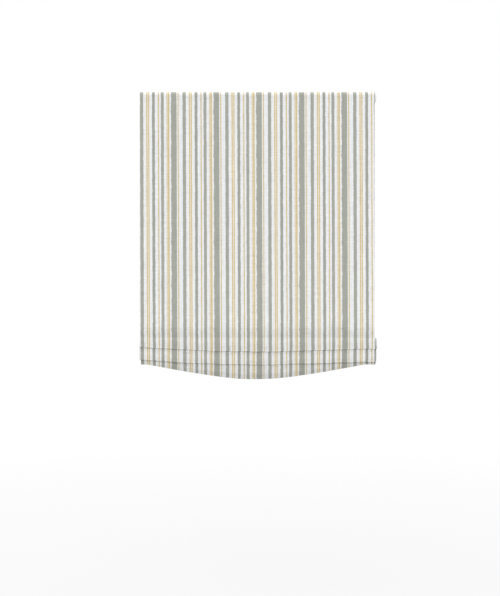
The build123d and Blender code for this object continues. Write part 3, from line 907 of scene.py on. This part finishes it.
def buildHemStitches():
    bm, uvLayer = startMesh()
    flapFront = clothCorners(0)[-3][0]
    start, reach = stitching["hemStart"], stitching["hemReach"]
    count = round(2 * (cloth["halfWidth"] - start) / stitching["hemSpacing"])
    for k in range(count + 1):
        x = -cloth["halfWidth"] + start + k * stitching["hemSpacing"]
        low = pathAt(x)[hemRow][0].y
        along = Vector((reach, 0, pathAt(x + reach)[hemRow][0].y - low)).normalized()
        stitchInto(bm, uvLayer, (x, flapFront, low + stitching["hemHeight"]), along, (0, -1, 0))
    turnOutward(bm)
    finishMesh("stitchesHem", bm, "striped_cloth", "bottom", finishes["hemThread"])


buildHemStitches()
print("stitches sewn")

# rings sewn to the lining, each tacked with a few wraps of thread

rings = {
    "x": 0.412,
    "major": 0.0058,
    "minor": 0.00098,
    "panelRows": 5,
    "panelY": -0.0322,
    "panelDepth": 0.178,
    "panelPitch": 0.1524,
    "stackRows": ((-0.0290, 0.940), (-0.0244, 0.957)),
    "tackRadius": 0.00128,
    "tackThread": 0.00022,
    "tackSpacing": 0.0009,
    "tackTilt": 0.08,
    "tackSteps": 16,
    "tackSides": 6,
    "tacks": 4,
}
ringRows = []
for k in range(rings["panelRows"]):
    ringRows.append((f"row_{k + 1}", rings["panelY"], rings["panelDepth"] + rings["panelPitch"] * k))
ringRows += [("bottom", y, depth) for y, depth in rings["stackRows"]]
for count, (body, y, depth) in enumerate(ringRows, 1):
    bm, uvLayer = startMesh()
    threads, threadLayer = startMesh()
    for side in (-1, 1):
        ringInto(bm, uvLayer, (side * rings["x"], y, -depth), (0, 0, 1), rings["major"], rings["minor"])
        for k in range(rings["tacks"]):
            fromMiddle = k - (rings["tacks"] - 1) / 2
            centre = (side * rings["x"] + fromMiddle * rings["tackSpacing"], y - rings["major"], -depth)
            ringInto(
                threads, threadLayer, centre, (1, rings["tackTilt"] * fromMiddle, 0),
                rings["tackRadius"], rings["tackThread"], rings["tackSteps"], rings["tackSides"],
            )
    turnOutward(bm)
    turnOutward(threads)
    ringPiece = finishMesh(f"rings{count}", bm, "ring_plastic", body)
    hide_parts(f"ring_row_{count}")
    finishMesh(f"ringTacks{count}", threads, "ring_plastic", body, finishes["thread"])
print("rings sewn on")

# lift cords, their knots at the bar and their last turns on the spools

cords = {
    "x": 0.412,
    "y": -0.0283,
    "radius": 0.0007,
    "top": -0.0232,
    "bottom": -1.0090,
    "steps": 64,
    "sides": 12,
    "knotRadius": 0.00077,
    "knotLobes": (0.9, 1.1),
    "knotLift": 0.0014,
    "knotWave": 0.0009,
    "knotSteps": 40,
    "windRadius": 0.0100,
    "shaftY": -0.0183,
    "turnPitch": 0.00155,
    "turns": 4,
    "stepsPerTurn": 28,
    "woundSides": 10,
}


def hangingCord(side):
    # straight down from the spool through the rings to the bar
    fall = cords["bottom"] - cords["top"]
    for k in range(cords["steps"] + 1):
        yield Vector((side * cords["x"], cords["y"], cords["top"] + fall * k / cords["steps"]))


def knotLoop(side):
    # a small closed knot above the anchor's arm
    radius, (wide, deep) = cords["knotRadius"], cords["knotLobes"]
    for k in range(cords["knotSteps"]):
        t = 2 * math.pi * k / cords["knotSteps"]
        yield Vector((
            side * cords["x"] + radius * (math.sin(t) + wide * math.sin(2 * t)),
            cords["y"] + radius * (math.cos(t) - deep * math.cos(2 * t)),
            cords["bottom"] + cords["knotLift"] + cords["knotWave"] * math.sin(3 * t),
        ))


def woundCord(side):
    # its turns on the spool, inward from where it comes down
    for k in range(cords["stepsPerTurn"] * cords["turns"] + 1):
        turned = k / cords["stepsPerTurn"]
        angle = math.pi + 2 * math.pi * turned
        yield Vector((
            side * (cords["x"] - cords["turnPitch"] * turned),
            cords["shaftY"] + cords["windRadius"] * math.cos(angle),
            cords["top"] - cords["windRadius"] * math.sin(angle),
        ))


def buildCordPiece(name, points, sides, body, closed=False):
    bm, uvLayer = startMesh()
    tubeInto(bm, uvLayer, list(points), cords["radius"], sides, closed)
    turnOutward(bm)
    return finishMesh(name, bm, "lift_cord", body)


for sideName, side in (("left", -1), ("right", 1)):
    cordPiece = buildCordPiece(f"liftCord_{sideName}", hangingCord(side), cords["sides"], None)
    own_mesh(cordPiece)
    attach(cordPiece, "head")
    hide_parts(f"lift_cord_{sideName}")
    buildCordPiece(f"cordKnot_{sideName}", knotLoop(side), cords["woundSides"], "bottom", closed=True)
    buildCordPiece(f"cordTurns_{sideName}", woundCord(side), cords["woundSides"], "shaft")
print("lift cords strung")

# the spring band: wound on the output drum, crossing to the storage drum

spring = {
    "half": 0.0110,
    "thickness": 0.00016,
    "outCentre": -0.0183,
    "storeCentre": 0.0042,
    "height": -0.0232,
    "outCore": 0.00812,
    "outCoil": 0.0117,
    "outTurns": 9,
    "storeCore": 0.00612,
    "storeCoil": 0.0069,
    "storeTurns": 3,
    "stepsPerTurn": 40,
    "columns": 4,
}


def coilPoints(centre, startRadius, endRadius, startAngle, turns):
    # a coil from its start to its end, the other way round where turns is negative
    steps = abs(turns) * spring["stepsPerTurn"]
    for k in range(steps + 1):
        share = k / steps
        radius = startRadius + (endRadius - startRadius) * share
        angle = startAngle + 2 * math.pi * turns * share
        yield centre + radius * math.cos(angle), spring["height"] + radius * math.sin(angle)


def buildSpring():
    outRadius, storeRadius, outTurns = spring["outCoil"], spring["storeCoil"], spring["outTurns"]
    lean = math.acos((outRadius + storeRadius) / (spring["storeCentre"] - spring["outCentre"]))
    outStart = lean - 2 * math.pi * outTurns
    line = list(coilPoints(spring["outCentre"], spring["outCore"], outRadius, outStart, outTurns))
    line += coilPoints(
        spring["storeCentre"], storeRadius, spring["storeCore"], math.pi + lean, -spring["storeTurns"]
    )
    along = lengthsOf(line)
    bm, uvLayer = startMesh()

    def place(i, j):
        x = spring["half"] * (2 * i / spring["columns"] - 1)
        return x, line[j][0], line[j][1], x, along[j]

    gridInto(bm, uvLayer, spring["columns"], len(line) - 1, place)
    piece = finishMesh("springCoil", bm, "spring_steel", "head")
    thicken(piece, spring["thickness"])
    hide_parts("spring_band")


buildSpring()
print("spring wound")

# the pocket behind the flap that holds the bottom bar

pocket = {
    "half": 0.400,
    "front": -0.0251,
    "back": -0.0176,
    "top": -1.0173,
    "bottom": -1.0387,
    "corner": 0.0022,
    "thickness": 0.0004,
    "columns": 120,
    "cornerSteps": 6,
    "sideSteps": 4,
    "ripple": 0.00022,
    "rippleReach": 0.003,
    "rippleWaves": (40, 200, 60),
    "rippleUp": 0.3,            # the share of it that goes up and down
    "seamInset": 0.0006,
    "seamLift": 0.0012,
    "seamSpacing": 0.008,
}


def pocketOutline():
    # round the pocket from above its back, with the middle at 0, 0
    corner, steps = pocket["corner"], pocket["sideSteps"]
    deep = (pocket["back"] - pocket["front"]) / 2 - corner
    tall = (pocket["top"] - pocket["bottom"]) / 2 - corner
    centres = ((deep, tall), (-deep, tall), (-deep, -tall), (deep, -tall))
    outline = []
    for quarter, (y, z) in enumerate(centres):
        for k in range(pocket["cornerSteps"] + 1):
            angle = math.pi / 2 * (quarter + k / pocket["cornerSteps"])
            outline.append((y + corner * math.cos(angle), z + corner * math.sin(angle)))
        startY, startZ = outline[-1]
        nextY, nextZ = centres[(quarter + 1) % 4]
        for k in range(1, steps):
            outline.append((startY + (nextY - y) * k / steps, startZ + (nextZ - z) * k / steps))
    return outline


def buildPocket():
    bm, uvLayer = startMesh()
    centreY = (pocket["front"] + pocket["back"]) / 2
    centreZ = (pocket["top"] + pocket["bottom"]) / 2
    outline = pocketOutline()
    around = lengthsOf(outline + outline[:1])

    def place(i, j):
        y, z = outline[j % len(outline)]
        x = pocket["half"] * (2 * i / pocket["columns"] - 1)
        spot = Vector([part * waves for part, waves in zip((x, y, z), pocket["rippleWaves"])])
        sunk = pocket["ripple"] / pocket["rippleReach"] * (0.5 + 0.5 * noise.noise(spot))
        return x, centreY + y * (1 - sunk), centreZ + z * (1 - sunk * pocket["rippleUp"]), x, around[j]

    gridInto(bm, uvLayer, pocket["columns"], len(outline), place)
    bmesh.ops.remove_doubles(bm, verts=bm.verts[:], dist=weldDistance)
    turnOutward(bm)
    if sum((f.normal.y * (f.calc_center_median().y - centreY)) for f in bm.faces) < 0:
        bmesh.ops.reverse_faces(bm, faces=bm.faces[:])
    piece = finishMesh("barPocket", bm, "lining_cloth", "bottom")
    thicken(piece, pocket["thickness"])
    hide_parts("bar_pocket")


def buildPocketSeams():
    # two seams, sewn through to the back of the flap
    bm, uvLayer = startMesh()
    inset, spacing = pocket["seamInset"], pocket["seamSpacing"]
    for z, up in ((pocket["top"] - inset, 1), (pocket["bottom"] + inset, -1)):
        for k in range(round(2 * pocket["half"] / spacing)):
            centre = (-pocket["half"] + spacing / 2 + k * spacing, pocket["front"] + pocket["seamLift"], z)
            stitchInto(bm, uvLayer, centre, (1, 0, 0), (0, 0, up))
    turnOutward(bm)
    finishMesh("stitchesPocket", bm, "lining_cloth", "bottom", finishes["thread"])


buildPocket()
buildPocketSeams()
print("pocket sewn")

# camera at the height of the picture's middle, straight on

view = {
    "scale": 0.003857,          # metres to a pixel at the cloth
    "width": 500,
    "height": 596,
    "blindCentre": 258.0,       # where the photograph has the blind's middle and top, in pixels
    "blindTop": 91.7,
    "distance": 4.0,
    "sensor": 24,
    "clipEnd": 50,
}
cameraData = bpy.data.cameras.new("camera")
cameraData.sensor_fit = "VERTICAL"
cameraData.sensor_height = view["sensor"]
cameraData.lens = view["sensor"] * view["distance"] / (view["height"] * view["scale"])
cameraData.clip_end = view["clipEnd"]
camera = bpy.data.objects.new("camera", cameraData)
camera.location = (
    (view["width"] / 2 - view["blindCentre"]) * view["scale"],
    cloth["panelFront"] - view["distance"],
    -(view["height"] / 2 - view["blindTop"]) * view["scale"] - cloth["topGap"],
)
camera.rotation_euler = (math.radians(90), 0, 0)
bpy.context.scene.collection.objects.link(camera)
bpy.context.scene.camera = camera

# a soft studio: an even sky, a soft lamp from above the front and one from behind, a pale floor

studio = {
    "skyStrength": 0.54,
    "keyStrength": 2.06,
    "keyFrom": (-0.35, -1.0, 1.4),
    "backStrength": 1.15,
    "backFrom": (0.5, 1.0, 0.9),
    "lampSpread": 50,           # degrees across, so shadows stay soft
    "floorGrey": 0.5,
    "floorRoughness": 0.9,
    "floorSize": 12,
    "floorHeight": -2.05,
    "floorWhite": 0.8,
    "floorFadeStart": 1.5,
    "floorFadeEnd": 5.0,
}


def whiteRays(tree):
    # 1 for camera, glossy and transmission rays, which see a plain white background
    rays = addNode(tree, "ShaderNodeLightPath").outputs
    through = maths(tree, "MAXIMUM", rays["Is Glossy Ray"], rays["Is Transmission Ray"])
    return maths(tree, "MAXIMUM", rays["Is Camera Ray"], through)


def buildSky():
    world = bpy.data.worlds.new("studioWorld")
    bpy.context.scene.world = world
    world.use_nodes = True
    tree = world.node_tree
    tree.nodes.clear()
    sky = addNode(tree, "ShaderNodeBackground")
    sky.inputs["Strength"].default_value = studio["skyStrength"]
    backdrop = addNode(tree, "ShaderNodeBackground")
    blendSky = addNode(tree, "ShaderNodeMixShader")
    output = addNode(tree, "ShaderNodeOutputWorld")
    for source in (sky, backdrop):
        source.inputs["Color"].default_value = (1, 1, 1, 1)
    tree.links.new(whiteRays(tree), blendSky.inputs[0])
    tree.links.new(sky.outputs[0], blendSky.inputs[1])
    tree.links.new(backdrop.outputs[0], blendSky.inputs[2])
    tree.links.new(blendSky.outputs[0], output.inputs[0])


def placeLamps():
    for name in ("key", "back"):
        lampData = bpy.data.lights.new(f"{name}Lamp", "SUN")
        lampData.energy = studio[f"{name}Strength"]
        lampData.angle = math.radians(studio["lampSpread"])
        lamp = bpy.data.objects.new(f"{name}Lamp", lampData)
        lamp.location = studio[f"{name}From"]
        lamp.rotation_euler = Vector(studio[f"{name}From"]).to_track_quat("Z", "Y").to_euler()
        bpy.context.scene.collection.objects.link(lamp)


def buildFloor():
    # grey where it takes shadows, and white to the camera further out
    grey = studio["floorGrey"]
    material, tree, shader = newMaterial("paleFloor", (grey, grey, grey, 1), studio["floorRoughness"])
    glow = addNode(tree, "ShaderNodeEmission")
    blendFloor = addNode(tree, "ShaderNodeMixShader")
    distance = addNode(tree, "ShaderNodeVectorMath", operation="LENGTH")
    tree.links.new(addNode(tree, "ShaderNodeTexCoord").outputs["Object"], distance.inputs[0])
    fade = addNode(tree, "ShaderNodeMapRange")
    tree.links.new(distance.outputs["Value"], fade.inputs["Value"])
    fade.inputs["From Min"].default_value = studio["floorFadeStart"]
    fade.inputs["From Max"].default_value = studio["floorFadeEnd"]
    fade.inputs["To Min"].default_value = studio["floorWhite"]
    tree.links.new(maths(tree, "MULTIPLY", whiteRays(tree), fade.outputs[0]), blendFloor.inputs[0])
    tree.links.new(shader.outputs[0], blendFloor.inputs[1])
    tree.links.new(glow.outputs[0], blendFloor.inputs[2])
    tree.links.new(blendFloor.outputs[0], tree.nodes["Material Output"].inputs[0])
    bm = bmesh.new()
    bmesh.ops.create_grid(bm, x_segments=1, y_segments=1, size=studio["floorSize"])
    bmesh.ops.translate(bm, verts=bm.verts[:], vec=(0, 0, studio["floorHeight"]))
    finishMesh("floor", bm, finish=material)


buildSky()
placeLamps()
buildFloor()
bpy.context.scene.view_settings.view_transform = "Standard"
print("camera and studio set")
